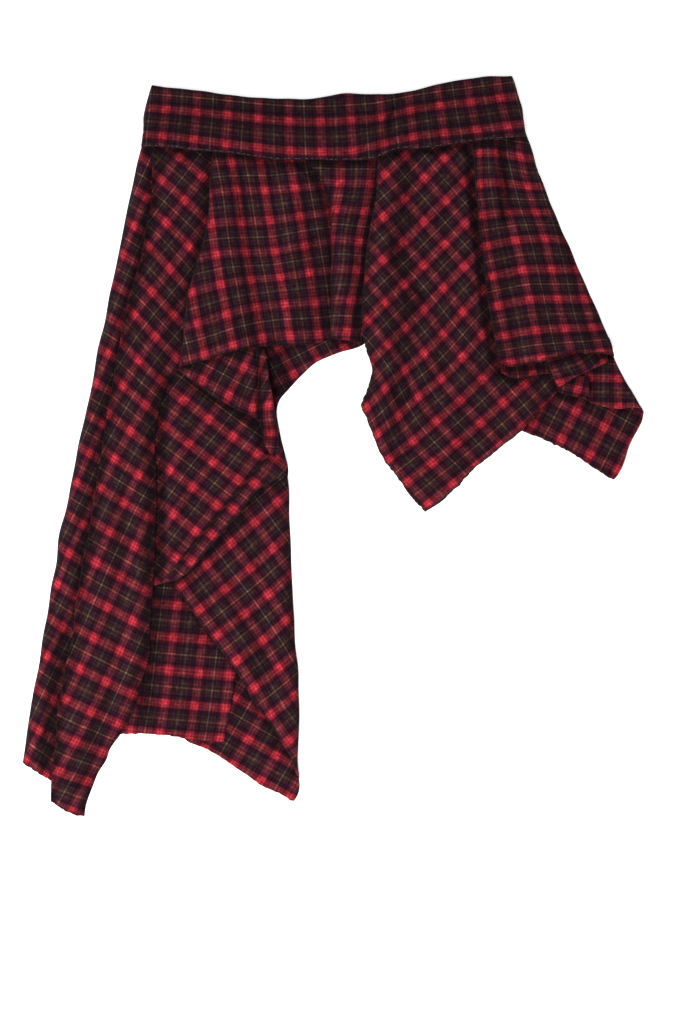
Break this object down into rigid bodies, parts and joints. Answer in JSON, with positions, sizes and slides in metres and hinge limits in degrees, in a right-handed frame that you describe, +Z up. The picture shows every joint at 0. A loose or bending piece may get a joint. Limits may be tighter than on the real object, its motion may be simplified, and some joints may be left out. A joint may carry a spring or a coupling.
{
  "type": "tartan skirt",
  "caption": "Short asymmetric skirt of brushed tartan cotton, laid flat: straight waistband, long left drapes, short centre, right bias point.",
  "frame": {"origin": "middle of the laid skirt's bounding box, on the surface that it lies on", "axes": "+Z up from the surface, through the skirt's front; +Y towards the waistband; +X towards the side with the short bias point"},
  "size_m": [0.6206, 0.739, 0.0163],
  "materials": {
    "tartan_cotton": "matte brushed cotton flannel, woven red, navy and olive tartan with a thin yellow line"
  },
  "bodies": {
    "root": {"waistband_back": "tartan_cotton", "left_back": "tartan_cotton", "right_back": "tartan_cotton", "corner_turn_under": "tartan_cotton", "left_inner_panel": "tartan_cotton", "corner_drape": "tartan_cotton", "left_middle_drape": "tartan_cotton", "crotch_piece": "tartan_cotton", "left_side": "tartan_cotton", "left_front_drape": "tartan_cotton", "centre_panel": "tartan_cotton", "centre_pleat": "tartan_cotton", "right_point": "tartan_cotton", "right_godet": "tartan_cotton", "right_bias_panel": "tartan_cotton", "right_hem_curl": "tartan_cotton", "right_under_hem": "tartan_cotton", "right_hem_turnup": "tartan_cotton", "right_side_panel": "tartan_cotton", "waistband_front": "tartan_cotton"}
  },
  "joints": []
}
